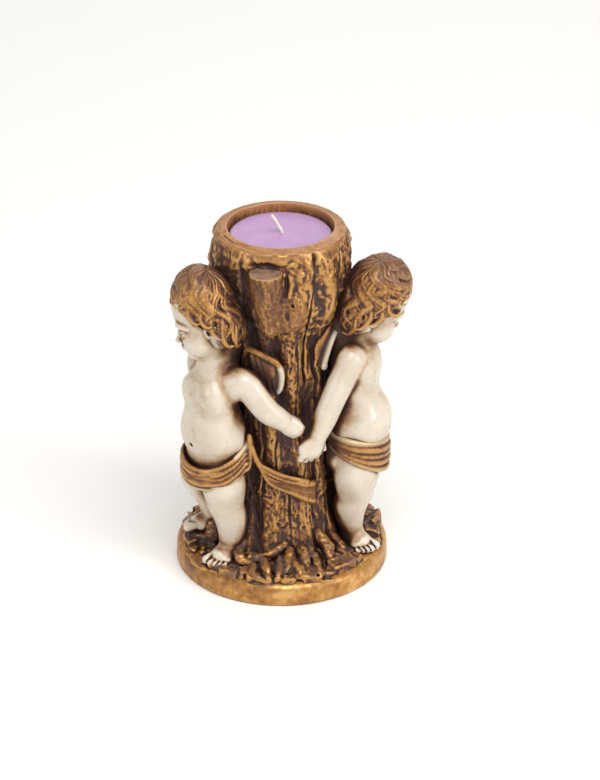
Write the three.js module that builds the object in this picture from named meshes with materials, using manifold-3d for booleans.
// Candlestick: three cherubs holding hands round a tree stump that carries a tealight.
// Millimetres, +Z up. The origin is the middle of the resting face.
// Each cherub is built in its own frame: +X to its left, -Y the way it faces, the stump's axis at 0.
import * as THREE from 'three';
import { mergeVertices } from 'three/addons/utils/BufferGeometryUtils.js';
import Module from 'manifold-3d';

const wasm = await Module();
wasm.setup();

// Fits
const seatGap = 0.3; // left between pieces that touch
const candleClearance = 0.8; // all round the tealight in its well

// Plinth, and the felt let into its underside
const plinthRadius = 41.4;
const plinthThickness = 8.4;
const plinthEdge = 3.6; // rounding of the upper edge
const plinthFootEdge = 0.8; // rounding of the lower edge
const feltThickness = 1;
const feltProud = 0.3; // how far the felt stands below the plinth
const feltInset = 4; // plinth edge to felt edge

// Tealight, a standard size
const candleRadius = 19.2;
const candleHeight = 16;
const candleShell = 0.5;
const waxAboveShell = 0.4;
const waxBelowRim = 3.2;
const wickRadius = 0.6;
const wickLength = 8.5;
const wickLean = 3; // sideways at its tip
const sustainerRadius = 6;
const sustainerThickness = 0.6;

// Stump
const stumpHeight = 133; // plinth top to rim
const stumpWaist = 19.4; // radius at half height
const stumpFlare = 5.5; // added radius at the ground
const flareHeight = 22;
const potWall = 6.4; // wood between the well and the bark
const potDepth = 32; // height of the swollen top
const potNeck = 10; // height of its underside
const lipHeight = 9;
const lipInset = 2.8; // how far the rim draws in
const barkRidges = 11;
const barkDepth = 0.95; // how far the ridges rise and the furrows sink
const barkTwist = 0.5; // shift of the ridges over the whole height, in ridges
const barkWander = 0.9; // how far the ridges sway to the side, in radians of their wave
const barkBends = 1.5; // sways over the whole height
const barkSteps = barkRidges * 6; // steps round the bark

// Sawn branch and burl at the front of the pot
const branchAzimuth = -12;
const branchRadius = 6.2;
const branchDepthShare = 0.95; // its depth from front to back, as a share of its width
const branchLength = 25;
const branchTopBelowRim = 7;
const branchStandOff = 1.8; // its top's axis beyond the bark
const burlAzimuth = 13;
const burlHalfWidth = 4.8;
const burlHalfHeight = 8;
const burlBelowRim = 20.4;
const burlStandOut = 2.4;

// Roots that run out over the plinth
const rootAzimuths = [-20, 2, 22, 42, 128, 246];
const rootLength = 15;
const rootRadius = 3.6;
const rootTipRadius = 1.3;

// Rocks on the plinth: where each lies, half its width and its height
const rocks = [
  { azimuth: -34.5, fromEdge: 4.6, halfWidth: 4.4, height: 3.2 },
  { azimuth: 45, fromEdge: 5.9, halfWidth: 4.6, height: 3.6 },
  { azimuth: 94, fromEdge: 6, halfWidth: 4.8, height: 6 },
  { azimuth: 150, fromEdge: 7.4, halfWidth: 4.4, height: 4.5 },
];

// Cherub, measured up from its soles
const legLength = 38; // sole to hip joint
const torsoLength = 42; // hip joint to shoulder joint
const neckLength = 8.3;
const headHeight = 35; // chin to crown
const standRadius = 30.5; // stump axis to torso axis
const hipHalfWidth = 13;
const bellyHalfWidth = 13.6;
const bellyHalfDepth = 10.4;
const chestHalfWidth = 12;
const chestHalfDepth = 8.2;
const neckRadius = 5;
const hipJointHalf = 6.4; // body axis to hip joint
const thighRadius = 7.5;
const kneeRadius = 6.4;
const calfRadius = 6.1;
const shinRadius = 4.9;
const ankleRadius = 3.5;
const upperArmRadius = 4.7;
const elbowRadius = 4;
const wristRadius = 3.5;
const fistRadius = 4.7;
const calfBack = 1.6; // how far the calf stands behind the line from thigh to ankle
const footLength = 14.4;
const footHalfWidth = 5.2;
const footHeight = 7.6;
const headHalfWidth = 10.8;
const headHalfDepth = 10.9;
const chinRadius = 3.1;
const noseRadius = 1.9;
const cheekRadius = 4.6;
const hairThickness = 2;
const hairSeatRadius = 4; // the opening at the back of the hair, where the head is bonded to the stump

// Loincloth and its tail
const clothThickness = 1;
const clothAboveHip = 1; // its lower edge over the hip joint
const clothFolds = 3;
const foldDepth = 0.4;
const tailWidth = 8;
const tailThickness = 2.4;
const tailDrop = 17.5; // from the hip to its tip
const tailFrom = 36; // degrees from the cherub's own azimuth
const tailReach = 54;
const knotTurn = 29.5; // degrees from the cherub's own azimuth
const knotHalfWidth = 3;
const knotHalfHeight = 7.6;
const knotAboveHip = 1.2; // its middle over the middle of the cloth

// Folded wings
const wingHeight = 17;
const wingWidth = 8.5;
const wingThickness = 2.4;

// Where neighbours hold hands
const claspStandOff = 8.1; // beyond the stump's waist
const claspBelowShoulder = 25;
const claspStagger = 8; // the left hand's height above the right hand
const claspSpread = 10; // degrees between the two hands

// Facets
const turnSteps = 36;
const torsoSides = 14;
const limbSides = 8;

const plinthBottom = feltProud;
const plinthTop = plinthBottom + plinthThickness;
const rimHeight = plinthTop + stumpHeight;
const boreRadius = candleRadius + candleClearance;
const potRadius = boreRadius + potWall;
const waxTop = rimHeight - waxBelowRim;
const candleBottom = waxTop - candleHeight;
const wellFloor = candleBottom - seatGap;
const solesAt = plinthTop + seatGap;
const shoulderAt = legLength + torsoLength;
const clothBottom = legLength + clothAboveHip;
const claspRadius = stumpWaist + claspStandOff;
const claspHeight = shoulderAt - claspBelowShoulder;
const headAt = shoulderAt + neckLength + headHeight / 2;

const radians = THREE.MathUtils.degToRad;

function point(side, forward, height) {
  return new THREE.Vector3(side, -forward, height);
}

function onStump(azimuth, radius, height) {
  return point(radius * Math.sin(radians(azimuth)), radius * Math.cos(radians(azimuth)), height);
}

function smooth(points) {
  return new THREE.CatmullRomCurve3(points, false, 'catmullrom', 0.5);
}

function materialOf(color, roughness, metalness) {
  return new THREE.MeshStandardMaterial({ color, roughness, metalness });
}

const ivory = () => materialOf(0xe1d7c8, 0.35, 0);
const antiqueGold = () => materialOf(0xaa732d, 0.45, 0.5);
const darkGold = () => materialOf(0x6b4620, 0.55, 0.4);
const feltGreen = () => materialOf(0x3c4a3a, 0.95, 0);
const aluminium = () => materialOf(0xb8b9bb, 0.35, 1);
const lilacWax = () => materialOf(0xcda5d7, 0.4, 0);
const cottonWick = () => materialOf(0xece3cf, 0.9, 0);

// A closed skin over a row of oval rings. A ring is its middle and its two half axes, and
// across x up points the way the row runs.
function loft(rings, sides) {
  const positions = [];
  const index = [];
  for (const ring of rings) {
    for (let k = 0; k < sides; k += 1) {
      const angle = (2 * Math.PI * k) / sides;
      const spot = ring.middle.clone();
      spot.addScaledVector(ring.across, Math.cos(angle));
      spot.addScaledVector(ring.up, Math.sin(angle));
      positions.push(spot.x, spot.y, spot.z);
    }
  }
  for (let i = 0; i + 1 < rings.length; i += 1) {
    for (let k = 0; k < sides; k += 1) {
      const next = (k + 1) % sides;
      const a = i * sides + k;
      const b = i * sides + next;
      index.push(a, b, b + sides, a, b + sides, a + sides);
    }
  }
  const first = rings.length * sides;
  const last = first + 1;
  const top = (rings.length - 1) * sides;
  for (const end of [rings[0], rings[rings.length - 1]]) {
    positions.push(end.middle.x, end.middle.y, end.middle.z);
  }
  for (let k = 0; k < sides; k += 1) {
    const next = (k + 1) % sides;
    index.push(first, next, k);
    index.push(last, top + k, top + next);
  }
  const geometry = new THREE.BufferGeometry();
  geometry.setAttribute('position', new THREE.Float32BufferAttribute(positions, 3));
  geometry.setIndex(index);
  return geometry;
}

// Upright rings through stations of side, forward, height, half width and half depth.
function uprightRings(stations, count, grow) {
  const middles = smooth(stations.map((s) => point(s.side ?? 0, s.forward ?? 0, s.height)));
  const halves = smooth(stations.map((s) => new THREE.Vector3(s.wide, s.deep, 0)));
  const rings = [];
  for (let i = 0; i <= count; i += 1) {
    const middle = middles.getPoint(i / count);
    const half = halves.getPoint(i / count);
    const across = new THREE.Vector3(half.x + grow, 0, 0);
    const up = new THREE.Vector3(0, half.y + grow, 0);
    rings.push({ middle, across, up });
  }
  rings[0].middle.z -= grow;
  rings[count].middle.z += grow;
  return rings;
}

// A round limb along a curve, with blunt round ends.
function limb(path, radii, steps, grow) {
  const curve = smooth(path);
  const sizes = smooth(radii.map((radius) => new THREE.Vector3(radius, 0, 0)));
  const frames = curve.computeFrenetFrames(steps, false);
  const rings = [];
  for (let i = 0; i <= steps; i += 1) {
    const radius = sizes.getPoint(i / steps).x + grow;
    rings.push(roundRing(curve.getPoint(i / steps), frames, i, radius));
  }
  rings.unshift(endRing(rings[0], frames.tangents[0], -1));
  rings.push(endRing(rings[rings.length - 1], frames.tangents[steps], 1));
  return loft(rings, limbSides);
}

function roundRing(middle, frames, i, radius) {
  const across = frames.normals[i].clone().multiplyScalar(radius);
  const up = frames.binormals[i].clone().multiplyScalar(radius);
  return { middle, across, up };
}

function endRing(ring, tangent, way) {
  const radius = ring.across.length();
  const endShare = 0.55; // of the last ring's radius
  const middle = ring.middle.clone().addScaledVector(tangent, way * radius * endShare);
  const across = ring.across.clone().multiplyScalar(endShare);
  const up = ring.up.clone().multiplyScalar(endShare);
  return { middle, across, up };
}

// A flat strip that lies against the stump, face out, along a curve.
function strip(path, halfWidths, thickness, steps, grow) {
  const curve = smooth(path);
  const sizes = smooth(halfWidths.map((half) => new THREE.Vector3(half, 0, 0)));
  const rings = [];
  for (let i = 0; i <= steps; i += 1) {
    const middle = curve.getPoint(i / steps);
    const tangent = curve.getTangent(i / steps);
    const out = new THREE.Vector3(middle.x, middle.y, 0).normalize();
    const side = new THREE.Vector3().crossVectors(out, tangent).normalize();
    const up = new THREE.Vector3().crossVectors(tangent, side);
    side.multiplyScalar(sizes.getPoint(i / steps).x + grow);
    up.multiplyScalar(thickness / 2 + grow);
    rings.push({ middle, across: side, up });
  }
  return loft(rings, limbSides);
}

function ellipsoid(middle, halves, around, down, grow) {
  const geometry = new THREE.SphereGeometry(1, around, down);
  geometry.rotateX(Math.PI / 2);
  geometry.scale(halves.x + grow, halves.y + grow, halves.z + grow);
  geometry.translate(middle.x, middle.y, middle.z);
  return geometry;
}

function turnedProfile(points, steps) {
  const geometry = new THREE.LatheGeometry(points, steps);
  geometry.rotateX(Math.PI / 2);
  return geometry;
}

// Positions only, shared corners merged, no slivers left at the poles.
function welded(geometry) {
  const plain = geometry.clone();
  plain.deleteAttribute('normal');
  plain.deleteAttribute('uv');
  const merged = mergeVertices(plain, 1e-4);
  const source = merged.index.array;
  const index = [];
  for (let i = 0; i < source.length; i += 3) {
    const [a, b, c] = [source[i], source[i + 1], source[i + 2]];
    if (a !== b && b !== c && c !== a) index.push(a, b, c);
  }
  merged.setIndex(index);
  return merged;
}

function solid(geometry) {
  const closed = welded(geometry);
  const vertProperties = new Float32Array(closed.attributes.position.array);
  const triVerts = new Uint32Array(closed.index.array);
  return new wasm.Manifold(new wasm.Mesh({ numProp: 3, vertProperties, triVerts }));
}

function geometryOf(body) {
  const mesh = body.getMesh();
  const geometry = new THREE.BufferGeometry();
  geometry.setAttribute('position', new THREE.BufferAttribute(mesh.vertProperties, 3));
  geometry.setIndex(new THREE.BufferAttribute(mesh.triVerts, 1));
  return geometry;
}

function join(pieces) {
  return geometryOf(pieces.map(solid).reduce((whole, piece) => whole.add(piece)));
}

// Cuts tools out of a piece and keeps its main body, without the offcuts.
function cut(piece, tools) {
  let body = solid(piece);
  for (const tool of tools) body = body.subtract(solid(tool));
  return mainBody(geometryOf(body));
}

function volumeOf(positions, faces) {
  let sum = 0;
  for (const [a, b, c] of faces) {
    const pa = new THREE.Vector3().fromArray(positions, 3 * a);
    const pb = new THREE.Vector3().fromArray(positions, 3 * b);
    const pc = new THREE.Vector3().fromArray(positions, 3 * c);
    sum += pa.dot(pb.cross(pc)) / 6;
  }
  return sum;
}

function mainBody(geometry) {
  const closed = welded(geometry);
  const positions = closed.attributes.position.array;
  const index = closed.index.array;
  const parent = [...Array(positions.length / 3).keys()];
  const rootOf = (v) => {
    let root = v;
    while (parent[root] !== root) root = parent[root];
    parent[v] = root;
    return root;
  };
  for (let i = 0; i < index.length; i += 3) {
    parent[rootOf(index[i + 1])] = rootOf(index[i]);
    parent[rootOf(index[i + 2])] = rootOf(index[i]);
  }
  const groups = new Map();
  for (let i = 0; i < index.length; i += 3) {
    const root = rootOf(index[i]);
    if (!groups.has(root)) groups.set(root, []);
    groups.get(root).push([index[i], index[i + 1], index[i + 2]]);
  }
  const sorted = [...groups.values()].sort((a, b) => volumeOf(positions, b) - volumeOf(positions, a));
  closed.setIndex(sorted[0].flat());
  return welded(closed.toNonIndexed());
}

function turned(geometry, degrees) {
  return geometry.clone().rotateZ(radians(degrees));
}

function named(name, geometry, material) {
  const plain = geometry.index ? geometry.toNonIndexed() : geometry;
  plain.computeVertexNormals();
  const mesh = new THREE.Mesh(plain, material);
  mesh.name = name;
  return mesh;
}

// Plinth: a disc with a full round edge and a flat resting face.
function plinthShape(grow) {
  const radius = plinthRadius + grow;
  const bottom = plinthBottom - grow;
  const top = plinthTop + grow;
  const arcSteps = 3;
  const points = [
    new THREE.Vector2(0, bottom),
    new THREE.Vector2(radius - plinthFootEdge, bottom),
    new THREE.Vector2(radius, bottom + plinthFootEdge),
  ];
  for (let i = 0; i <= arcSteps; i += 1) {
    const angle = (i / arcSteps) * (Math.PI / 2);
    const x = radius - plinthEdge + plinthEdge * Math.cos(angle);
    points.push(new THREE.Vector2(x, top - plinthEdge + plinthEdge * Math.sin(angle)));
  }
  points.push(new THREE.Vector2(0, top));
  return turnedProfile(points, turnSteps);
}

function feltShape(grow) {
  const radius = plinthRadius - feltInset + grow;
  const thickness = feltThickness + grow;
  const geometry = new THREE.CylinderGeometry(radius, radius, thickness, turnSteps);
  geometry.rotateX(Math.PI / 2);
  geometry.translate(0, 0, thickness / 2);
  return geometry;
}

// The stump's radius at a height: root flare, waist, swollen pot and rounded lip.
function stumpRadiusAt(height) {
  const foot = THREE.MathUtils.clamp(1 - (height - plinthTop) / flareHeight, 0, 1);
  const potTop = rimHeight - potDepth;
  const rise = THREE.MathUtils.smoothstep(height, potTop - potNeck, potTop + potNeck);
  const lip = THREE.MathUtils.clamp((height - rimHeight + lipHeight) / lipHeight, 0, 1);
  const drawnIn = lipInset * lip * lip;
  return stumpWaist + stumpFlare * foot * foot + (potRadius - stumpWaist) * rise - drawnIn;
}

function stumpRings(grow) {
  const bottom = plinthTop + seatGap;
  const barkTop = rimHeight - lipHeight;
  const steps = 24;
  const heights = [];
  for (let i = 0; i <= steps; i += 1) heights.push(bottom + ((barkTop - bottom) * i) / steps);
  heights.push(barkTop + lipHeight * 0.6, rimHeight + grow);
  return heights.map((height) => {
    const radius = stumpRadiusAt(Math.min(height, rimHeight)) + grow;
    return {
      middle: new THREE.Vector3(0, 0, height),
      across: new THREE.Vector3(radius, 0, 0),
      up: new THREE.Vector3(0, radius, 0),
    };
  });
}

function stumpShape() {
  return ridged(loft(stumpRings(0), barkSteps));
}

// A plainer skin that clears the bark by the seat gap, for the pieces that lie against it.
function stumpClearance() {
  const sides = turnSteps / 2;
  const overBark = (barkDepth + seatGap) / Math.cos(Math.PI / sides);
  const cornerRoom = potRadius * (1 / Math.cos(Math.PI / sides) - 1);
  const rings = stumpRings(overBark + cornerRoom);
  rings[0].middle.z -= seatGap;
  return loft(rings, sides);
}

// Bark ridges run up the stump with a slow twist and a sway, and fade at the smooth lip.
function ridged(geometry) {
  const spots = geometry.attributes.position;
  for (let i = 0; i < spots.count; i += 1) {
    const x = spots.getX(i);
    const y = spots.getY(i);
    const z = spots.getZ(i);
    const radius = Math.hypot(x, y);
    if (radius < 1) continue;
    const height = (z - plinthTop) / stumpHeight;
    const fade = THREE.MathUtils.clamp((rimHeight - lipHeight - z) / lipHeight, 0, 1);
    const around = Math.atan2(y, x);
    const sway = barkWander * Math.sin(2 * Math.PI * barkBends * height + 3 * around);
    const wave = Math.cos(barkRidges * around + barkTwist * 2 * Math.PI * height + sway);
    const scale = 1 + (barkDepth * wave * fade) / radius;
    spots.setXY(i, x * scale, y * scale);
  }
  return geometry;
}

function well() {
  const above = 5;
  const depth = rimHeight - wellFloor + above;
  const geometry = new THREE.CylinderGeometry(boreRadius, boreRadius, depth, turnSteps);
  geometry.rotateX(Math.PI / 2);
  geometry.translate(0, 0, wellFloor + depth / 2);
  return geometry;
}

function branchShape(grow) {
  const top = rimHeight - branchTopBelowRim;
  const low = onStump(branchAzimuth, stumpWaist + 2, top - branchLength);
  const high = onStump(branchAzimuth, potRadius + branchStandOff, top);
  const along = new THREE.Vector3().subVectors(high, low).normalize();
  const across = new THREE.Vector3(Math.cos(radians(branchAzimuth)), Math.sin(radians(branchAzimuth)), 0);
  const up = new THREE.Vector3().crossVectors(along, across).normalize();
  const shares = [0.35, 0.8, 0.98, 1];
  const rings = shares.map((share, i) => ({
    middle: new THREE.Vector3().lerpVectors(low, high, i / (shares.length - 1)),
    across: across.clone().multiplyScalar(branchRadius * share + grow),
    up: up.clone().multiplyScalar(branchRadius * branchDepthShare * share + grow),
  }));
  return loft(rings, limbSides + 2);
}

function burlShape(grow) {
  const height = rimHeight - burlBelowRim;
  const halves = new THREE.Vector3(burlHalfWidth, burlStandOut * 2, burlHalfHeight);
  const lump = ellipsoid(new THREE.Vector3(), halves, 10, 6, grow);
  const place = onStump(burlAzimuth, stumpRadiusAt(height) - burlStandOut / 2, height);
  return turned(lump, burlAzimuth).translate(place.x, place.y, place.z);
}

// A root leaves the stump's foot and runs out and down on to the plinth.
function rootShape(azimuth, grow) {
  const start = stumpWaist + stumpFlare / 2;
  const path = [
    onStump(azimuth, start - rootRadius, plinthTop + rootRadius * 2.2),
    onStump(azimuth + 3, start + rootLength * 0.4, plinthTop + rootRadius * 1.1),
    onStump(azimuth - 4, start + rootLength * 0.75, plinthTop + rootTipRadius * 1.6),
    onStump(azimuth + 2, start + rootLength, plinthTop + rootTipRadius * 0.9),
  ];
  const radii = [rootRadius, rootRadius * 0.9, rootTipRadius * 1.6, rootTipRadius];
  return limb(path, radii, 4, grow);
}

// A rock with its middle sunk to the plinth's face, where the plinth cuts it flat.
function rockShape(rock) {
  const halves = new THREE.Vector3(rock.halfWidth, rock.halfWidth * 0.8, rock.height);
  const lump = ellipsoid(new THREE.Vector3(), halves, 8, 6, 0);
  const place = onStump(rock.azimuth, plinthRadius - rock.fromEdge, plinthTop);
  return turned(lump, rock.azimuth).translate(place.x, place.y, place.z);
}

// The mound of earth under a raised right foot.
function moundShape(who) {
  const foot = who.rightFoot;
  const halves = new THREE.Vector3(footHalfWidth * 1.3, footLength * 0.66, foot.rise * 1.6);
  const lump = ellipsoid(point(0, footLength * 0.2, 0), halves, 12, 6, 0);
  lump.rotateZ(radians(foot.toeOut));
  const place = point(foot.side, standRadius + foot.step, plinthTop);
  return turned(lump.translate(place.x, place.y, place.z), who.azimuth);
}

// Parts of a cherub. who holds its pose, and grow is added all round.
function inBody(who, side, forward, height) {
  const upright = new THREE.Vector3(0, 0, 1);
  const spot = point(side, forward, height).applyAxisAngle(upright, radians(who.bodyTurn));
  return spot.add(point(0, standRadius, solesAt));
}

function placeBody(who, geometry) {
  geometry.rotateZ(radians(who.bodyTurn));
  geometry.translate(0, -standRadius, solesAt);
  return geometry;
}

function torsoShape(who, grow) {
  const shoulder = shoulderAt + who.shoulderRise;
  const hip = { forward: -1, wide: hipHalfWidth, deep: bellyHalfDepth * 0.92 };
  const belly = { forward: who.bellyOut, wide: bellyHalfWidth, deep: bellyHalfDepth };
  const chest = { forward: who.chestOut, wide: chestHalfWidth, deep: chestHalfDepth };
  const neck = { forward: 0, wide: neckRadius, deep: neckRadius };
  const stations = [
    { ...hip, height: legLength - 2, wide: hip.wide * 0.7, deep: hip.deep * 0.7 },
    { ...hip, height: legLength + 2, wide: hip.wide * 0.94, deep: hip.deep * 0.94 },
    { ...hip, height: legLength + torsoLength * 0.2, forward: belly.forward * 0.4 },
    { ...belly, height: legLength + torsoLength * 0.32, wide: hip.wide },
    { ...belly, height: legLength + torsoLength * 0.46 },
    { ...chest, height: legLength + torsoLength * 0.7 },
    { ...chest, height: shoulder - 3.5, deep: chest.deep * 0.94 },
    { ...chest, height: shoulder + 2.5, wide: chest.wide * 0.76, deep: chest.deep * 0.75 },
    { ...neck, height: shoulder + neckLength - 0.5 },
    { ...neck, height: headAt - headHeight * 0.25 },
  ];
  return placeBody(who, loft(uprightRings(stations, 10, grow), torsoSides));
}

function placeHead(who, geometry) {
  geometry.rotateY(radians(who.headTilt));
  geometry.rotateX(radians(who.headNod));
  geometry.rotateZ(radians(who.headTurn));
  const place = point(who.headSide, standRadius + who.headLean, solesAt + headAt);
  geometry.translate(place.x, place.y, place.z);
  return geometry;
}

// In the head's own frame, its middle at 0. Shares of its half sizes give the places.
function headLump(share, halves, grow) {
  const tall = headHeight / 2;
  const middle = point(share.side * headHalfWidth, share.forward * headHalfDepth, share.up * tall);
  const steps = Math.max(...halves) > headHalfWidth * 0.8 ? 11 : 6;
  return ellipsoid(middle, new THREE.Vector3(...halves), steps, Math.round(steps * 0.6), grow);
}

function roundHalves(radius) {
  return [radius, radius, radius];
}

function headShape(who, grow) {
  const tall = headHeight / 2;
  const skull = [headHalfWidth, headHalfDepth, tall * 0.8];
  const face = [headHalfWidth * 0.84, headHalfDepth * 0.76, tall * 0.64];
  const pieces = [
    headLump({ side: 0, forward: -0.04, up: 0.19 }, skull, grow),
    headLump({ side: 0, forward: 0.21, up: -0.31 }, face, grow),
    headLump({ side: 0, forward: 0.72, up: -0.83 }, roundHalves(chinRadius), grow),
    headLump({ side: 0, forward: 1.0, up: -0.49 }, roundHalves(noseRadius), grow),
  ];
  for (const way of [-1, 1]) {
    pieces.push(headLump({ side: way * 0.46, forward: 0.5, up: -0.52 }, roundHalves(cheekRadius), grow));
  }
  return placeHead(who, join(pieces));
}

function hairShape(who, grow) {
  const tall = headHeight / 2;
  const crown = [headHalfWidth, headHalfDepth, tall * 0.8].map((half) => half + hairThickness);
  const locks = [headHalfWidth + 1.6, headHalfDepth * 0.94, tall * 0.76];
  const pieces = [
    headLump({ side: 0, forward: -0.04, up: 0.17 }, crown, grow),
    headLump({ side: 0, forward: -0.42, up: -0.27 }, locks, grow),
  ];
  return placeHead(who, join(pieces));
}

function faceWindow(who) {
  const halves = [headHalfWidth * 0.98, headHalfDepth * 1.02, headHeight * 0.41];
  return placeHead(who, headLump({ side: 0, forward: 1.35, up: -0.5 }, halves, 0));
}

function hairSeat(who) {
  return placeHead(who, headLump({ side: 0, forward: -1.1, up: -0.1 }, roundHalves(hairSeatRadius), 0));
}

// The left hand of one cherub lies on the right hand of the next.
function handPlace(who, way) {
  const clasp = way > 0 ? who.leftClasp : who.rightClasp;
  const azimuth = clasp - who.azimuth - (way * claspSpread) / 2;
  return onStump(azimuth, claspRadius, solesAt + claspHeight + (way * claspStagger) / 2);
}

// The arm hangs from the shoulder to the clasped hand. way is 1 for the left arm.
function armShape(who, way, grow) {
  const height = shoulderAt + who.shoulderRise - 1.5;
  const start = inBody(who, way * (who.shoulderOut - 3.5), who.shoulderBack * -0.6, height);
  const shoulder = inBody(who, way * who.shoulderOut, -who.shoulderBack, height - 0.5);
  const fist = handPlace(who, way);
  const elbow = new THREE.Vector3().lerpVectors(shoulder, fist, 0.48);
  const out = new THREE.Vector3(elbow.x, elbow.y, 0).normalize();
  elbow.addScaledVector(out, who.elbowOut);
  elbow.z -= who.elbowDrop;
  const wrist = new THREE.Vector3().lerpVectors(elbow, fist, 0.8);
  const radii = [upperArmRadius * 0.9, upperArmRadius, elbowRadius, wristRadius, fistRadius];
  return limb([start, shoulder, elbow, wrist, fist], radii, 8, grow);
}

function footPlace(who, way) {
  const foot = way > 0 ? who.leftFoot : who.rightFoot;
  return { foot, ankle: point(foot.side, standRadius + foot.step, solesAt + foot.rise) };
}

function legShape(who, way, grow) {
  const { foot, ankle } = footPlace(who, way);
  const hip = inBody(who, way * hipJointHalf, 0, legLength + 3);
  const thigh = inBody(who, way * hipJointHalf, 0.7, legLength - 4);
  const end = ankle.clone().setZ(ankle.z + footHeight * 0.55);
  const below = (share) => new THREE.Vector3().lerpVectors(thigh, end, share);
  const knee = below(0.3);
  const calf = below(0.52);
  calf.y += calfBack;
  const shin = below(0.74);
  shin.y += calfBack * 0.75;
  const path = [hip, thigh, knee, calf, shin, below(0.93), end];
  const lower = [kneeRadius, calfRadius, shinRadius, ankleRadius, ankleRadius];
  return limb(path, [thighRadius * 0.92, thighRadius, ...lower], 8, grow);
}

// Heel to toes along -Y, turned out at the ankle: a big toe, and the row of small ones.
function footShape(who, way, grow) {
  const { foot, ankle } = footPlace(who, way);
  const shares = [
    { at: 0.26, wide: 0.45, tall: 0.34 },
    { at: 0.1, wide: 0.8, tall: 0.5 },
    { at: -0.25, wide: 0.9, tall: 0.4 },
    { at: -0.62, wide: 0.95, tall: 0.22 },
  ];
  const rings = shares.map((share) => ({
    middle: new THREE.Vector3(0, share.at * footLength, share.tall * footHeight),
    across: new THREE.Vector3(share.wide * footHalfWidth + grow, 0, 0),
    up: new THREE.Vector3(0, 0, share.tall * footHeight + grow),
  }));
  rings[0].middle.y += grow;
  rings[rings.length - 1].middle.y -= grow;
  const inner = -way * footHalfWidth * 0.62;
  const bigToe = new THREE.Vector3(inner, -footLength * 0.68, footHeight * 0.2);
  const bigToeHalves = new THREE.Vector3(footHalfWidth * 0.34, footHalfWidth * 0.5, footHeight * 0.2);
  const smallToes = new THREE.Vector3(-inner * 0.42, -footLength * 0.62, footHeight * 0.17);
  const smallToeHalves = new THREE.Vector3(footHalfWidth * 0.66, footHalfWidth * 0.52, footHeight * 0.17);
  const whole = join([
    loft(rings, limbSides),
    ellipsoid(bigToe, bigToeHalves, 6, 4, grow),
    ellipsoid(smallToes, smallToeHalves, 8, 4, grow),
  ]);
  whole.rotateZ(radians(foot.toeOut));
  whole.translate(ankle.x, ankle.y, ankle.z);
  return whole;
}

// A band slung low round the hips, in flat folds, and gathered at the left hip. clothDip lowers its
// front edge, and clothHike lifts its right side.
function clothShape(who, grow) {
  const wide = hipHalfWidth + clothThickness;
  const deep = bellyHalfDepth + clothThickness;
  const last = clothFolds * 2;
  const rings = [];
  for (let i = 0; i <= last; i += 1) {
    const crest = (i % 2) * foldDepth + grow;
    rings.push({
      middle: point(0, 0, clothBottom + (who.clothHeight * i) / last),
      across: new THREE.Vector3(wide + crest, 0, -who.clothHike),
      up: new THREE.Vector3(0, deep + crest, who.clothDip),
    });
  }
  rings[0].middle.z -= grow;
  rings[last].middle.z += grow;
  return join([placeBody(who, loft(rings, torsoSides)), knotShape(who, grow)]);
}

function knotShape(who, grow) {
  const height = solesAt + clothBottom + who.clothHeight / 2 + knotAboveHip;
  const place = onStump(knotTurn, stumpWaist + 5.6, height);
  const halves = new THREE.Vector3(knotHalfWidth, knotHalfWidth, knotHalfHeight);
  return ellipsoid(place, halves, 10, 8, grow);
}

// The end of the cloth leaves the left hip and lies on the stump.
function tailShape(who, grow) {
  const hip = solesAt + clothBottom + who.clothHeight * 0.6;
  const bark = stumpWaist + tailThickness / 2;
  const path = [
    onStump(tailFrom - 4, bark + 3.4, hip + 6),
    onStump(tailFrom, bark + 2, hip + 1),
    onStump(tailFrom + tailReach * 0.1, bark, hip - tailDrop * 0.27),
    onStump(tailFrom + tailReach * 0.25, bark, hip - tailDrop * 0.47),
    onStump(tailFrom + tailReach * 0.5, bark, hip - tailDrop * 0.6),
    onStump(tailFrom + tailReach * 0.8, bark, hip - tailDrop * 0.8),
    onStump(tailFrom + tailReach, bark, hip - tailDrop),
  ];
  const half = tailWidth / 2;
  const halves = [0.4, 0.4, 0.5, 0.65, 0.8, 0.85, 0.25].map((share) => share * half);
  return strip(path, halves, tailThickness, 10, grow);
}

// A small folded wing against the stump. It runs out from the shoulder blade and down to its tip.
function wingShape(who, way, grow) {
  const spread = way > 0 ? who.leftWing : who.rightWing;
  const top = solesAt + shoulderAt + who.wingRise;
  const inner = stumpWaist + wingThickness;
  const places = [
    { along: 0, down: 0.2 },
    { along: 0.4, down: 0.28 },
    { along: 0.75, down: 0.58 },
    { along: 1, down: 1 },
  ];
  const path = places.map((place) => {
    const azimuth = way * (who.wingRoot + spread * place.along);
    return onStump(azimuth, inner, top - wingHeight * place.down);
  });
  const half = wingWidth / 2;
  return strip(path, [half * 0.6, half, half * 0.8, half * 0.2], wingThickness, 6, grow);
}

const claspAzimuths = { front: 18.6, right: 132, back: 245 };

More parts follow.
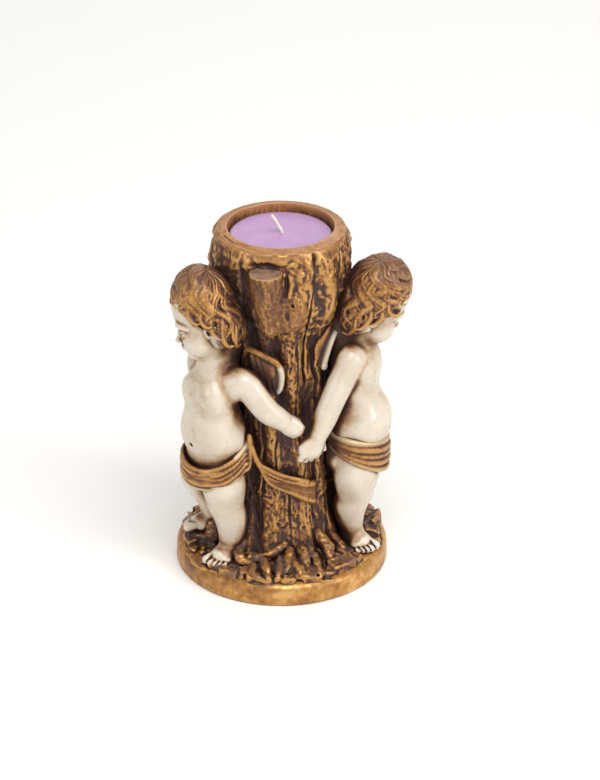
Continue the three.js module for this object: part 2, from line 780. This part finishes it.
const cherubs = [
  {
    name: 'left_cherub', azimuth: -58, bodyTurn: 8, shoulderRise: 0, bellyOut: 1.2, chestOut: 0.8,
    shoulderOut: 13.2, shoulderBack: 5.3, elbowOut: 2.2, elbowDrop: 1.5,
    headTurn: -24, headNod: 14, headTilt: 0, headLean: 3.5, headSide: 0,
    leftClasp: claspAzimuths.front, rightClasp: claspAzimuths.back - 360,
    leftFoot: { side: 5.4, step: -4.2, rise: 0, toeOut: 15 },
    rightFoot: { side: -10, step: -5.8, rise: 5.5, toeOut: -28 },
    clothHeight: 8, clothDip: 4.8, clothHike: 0,
    wingRoot: 23.5, leftWing: 35, rightWing: 20, wingRise: 11.6,
  },
  {
    name: 'right_cherub', azimuth: 76, bodyTurn: 0, shoulderRise: 6, bellyOut: 2.6, chestOut: -0.4,
    shoulderOut: 9.6, shoulderBack: 1.4, elbowOut: 0, elbowDrop: 0,
    headTurn: 20, headNod: 22, headTilt: -11, headLean: 6.1, headSide: 1.6,
    leftClasp: claspAzimuths.right, rightClasp: claspAzimuths.front,
    leftFoot: { side: 7.2, step: -6.4, rise: 0, toeOut: 44 },
    rightFoot: { side: -1, step: -2.2, rise: 0, toeOut: -36 },
    clothHeight: 11.5, clothDip: 3.5, clothHike: 2.6,
    wingRoot: 11, leftWing: 30, rightWing: 31, wingRise: 17,
  },
  {
    name: 'rear_cherub', azimuth: 189, bodyTurn: 0, shoulderRise: 3, bellyOut: 1.6, chestOut: -0.4,
    shoulderOut: 11.4, shoulderBack: 3.4, elbowOut: 1, elbowDrop: 0.8,
    headTurn: -12, headNod: 14, headTilt: 0, headLean: 2.5, headSide: 0,
    leftClasp: claspAzimuths.back, rightClasp: claspAzimuths.right,
    leftFoot: { side: 7, step: -2.5, rise: 0, toeOut: 12 },
    rightFoot: { side: -7, step: -1.5, rise: 0, toeOut: -12 },
    clothHeight: 9, clothDip: 2.5, clothHike: 0,
    wingRoot: 20, leftWing: 30, rightWing: 30, wingRise: 12,
  },
];

const ways = { left: 1, right: -1 };
const grownStump = stumpClearance();
const grownBranch = join([branchShape(seatGap), burlShape(seatGap)]);
const grownPlinth = plinthShape(seatGap);

// Tools of one cherub that other cherubs, roots and rocks are cut by, in the stump's frame.
function reachOf(who) {
  const grown = [
    armShape(who, ways.left, seatGap),
    armShape(who, ways.right, seatGap),
    legShape(who, ways.left, seatGap),
    legShape(who, ways.right, seatGap),
    footShape(who, ways.left, seatGap),
    footShape(who, ways.right, seatGap),
    clothShape(who, seatGap),
  ];
  return grown.map((geometry) => turned(geometry, who.azimuth));
}

function buildCherub(who, earlierArms) {
  const group = new THREE.Group();
  group.name = who.name;
  group.rotation.z = radians(who.azimuth);
  const stump = turned(grownStump, -who.azimuth);
  const branch = turned(grownBranch, -who.azimuth);
  const plinth = grownPlinth;
  const grownHead = headShape(who, seatGap);
  const grownTorso = torsoShape(who, seatGap);
  const grownHair = hairShape(who, seatGap);
  const grownArms = [armShape(who, ways.left, seatGap), armShape(who, ways.right, seatGap)];
  const grownLegs = [legShape(who, ways.left, seatGap), legShape(who, ways.right, seatGap)];
  const add = (name, geometry, material) => group.add(named(who.name + '_' + name, geometry, material));

  add('head', cut(headShape(who, 0), [stump]), ivory());
  const hairTools = [stump, grownHead, faceWindow(who), hairSeat(who), grownTorso];
  add('hair', cut(hairShape(who, 0), hairTools), antiqueGold());
  add('torso', cut(torsoShape(who, 0), [stump, grownHead]), ivory());
  const others = earlierArms.map((arm) => turned(arm, -who.azimuth));
  for (const [side, way] of Object.entries(ways)) {
    add(side + '_arm', cut(armShape(who, way, 0), [stump, grownTorso, ...others]), ivory());
  }
  const clothGrown = clothShape(who, seatGap);
  for (const [side, way] of Object.entries(ways)) {
    const rest = way > 0 ? [] : [grownLegs[0]];
    add(side + '_leg', cut(legShape(who, way, 0), [stump, grownTorso, plinth, ...rest]), ivory());
    add(side + '_foot', cut(footShape(who, way, 0), [stump, ...grownLegs]), ivory());
  }
  add('loincloth', cut(clothShape(who, 0), [stump, grownTorso, ...grownLegs, ...grownArms]), antiqueGold());
  add('drape_tail', cut(tailShape(who, 0), [stump, clothGrown, ...grownLegs, ...grownArms]), antiqueGold());
  for (const [side, way] of Object.entries(ways)) {
    const tools = [stump, branch, grownTorso, grownHair, grownHead, ...grownArms];
    add(side + '_wing', cut(wingShape(who, way, 0), tools), darkGold());
  }
  return group;
}

function buildCandle() {
  const group = new THREE.Group();
  group.name = 'tealight';
  const shellTop = waxTop - waxAboveShell;
  const inner = candleRadius - candleShell;
  const cupProfile = [
    new THREE.Vector2(0, candleBottom),
    new THREE.Vector2(candleRadius, candleBottom),
    new THREE.Vector2(candleRadius, shellTop),
    new THREE.Vector2(inner, shellTop),
    new THREE.Vector2(inner, candleBottom + candleShell),
    new THREE.Vector2(0, candleBottom + candleShell),
  ];
  group.add(named('tealight_cup', turnedProfile(cupProfile, turnSteps), aluminium()));
  const waxRadius = inner - seatGap;
  const waxBottom = candleBottom + candleShell + sustainerThickness + 2 * seatGap;
  const waxProfile = [
    new THREE.Vector2(0, waxBottom),
    new THREE.Vector2(waxRadius, waxBottom),
    new THREE.Vector2(waxRadius, waxTop - 0.5),
    new THREE.Vector2(waxRadius - 0.5, waxTop),
    new THREE.Vector2(0, waxTop),
  ];
  const wax = cut(turnedProfile(waxProfile, turnSteps), [wickShape(seatGap)]);
  group.add(named('wax', wax, lilacWax()));
  group.add(named('wick', wickShape(0), cottonWick()));
  const sustainer = new THREE.CylinderGeometry(sustainerRadius, sustainerRadius, sustainerThickness, 20);
  sustainer.rotateX(Math.PI / 2);
  sustainer.translate(0, 0, candleBottom + candleShell + seatGap + sustainerThickness / 2);
  group.add(named('wick_sustainer', sustainer, aluminium()));
  return group;
}

function wickShape(grow) {
  const foot = candleBottom + candleShell + sustainerThickness + 2 * seatGap;
  const path = [
    new THREE.Vector3(0, 0, foot),
    new THREE.Vector3(0, 0, waxTop - 2),
    new THREE.Vector3(-wickLean * 0.35, 0, waxTop + wickLength * 0.5),
    new THREE.Vector3(-wickLean, 0, waxTop + wickLength),
  ];
  return limb(path, [wickRadius, wickRadius, wickRadius, wickRadius], 8, grow);
}

const candlestick = new THREE.Group();
candlestick.name = 'angel_candlestick';
candlestick.add(named('felt_pad', feltShape(0), feltGreen()));
candlestick.add(named('plinth', cut(plinthShape(0), [feltShape(seatGap)]), antiqueGold()));
candlestick.add(named('stump', cut(stumpShape(), [well()]), darkGold()));
candlestick.add(named('sawn_branch', cut(branchShape(0), [grownStump, well()]), darkGold()));
candlestick.add(named('burl', cut(burlShape(0), [grownStump, branchShape(seatGap)]), darkGold()));
candlestick.add(buildCandle());

const earlierArms = [];
for (const who of cherubs) {
  candlestick.add(buildCherub(who, earlierArms));
  for (const way of Object.values(ways)) {
    earlierArms.push(turned(armShape(who, way, seatGap), who.azimuth));
  }
}

const figures = cherubs.flatMap(reachOf);
rootAzimuths.forEach((azimuth, i) => {
  const root = cut(rootShape(azimuth, 0), [grownStump, grownPlinth, ...figures]);
  candlestick.add(named('root_' + (i + 1), root, darkGold()));
});
const roots = rootAzimuths.map((azimuth) => rootShape(azimuth, seatGap));
rocks.forEach((rock, i) => {
  const stone = cut(rockShape(rock), [grownStump, grownPlinth, ...roots, ...figures]);
  candlestick.add(named('rock_' + (i + 1), stone, darkGold()));
});
for (const who of cherubs.filter((one) => one.rightFoot.rise > 0)) {
  const mound = cut(moundShape(who), [grownStump, grownPlinth, ...figures]);
  candlestick.add(named(who.name + '_foot_mound', mound, darkGold()));
}

export default candlestick;
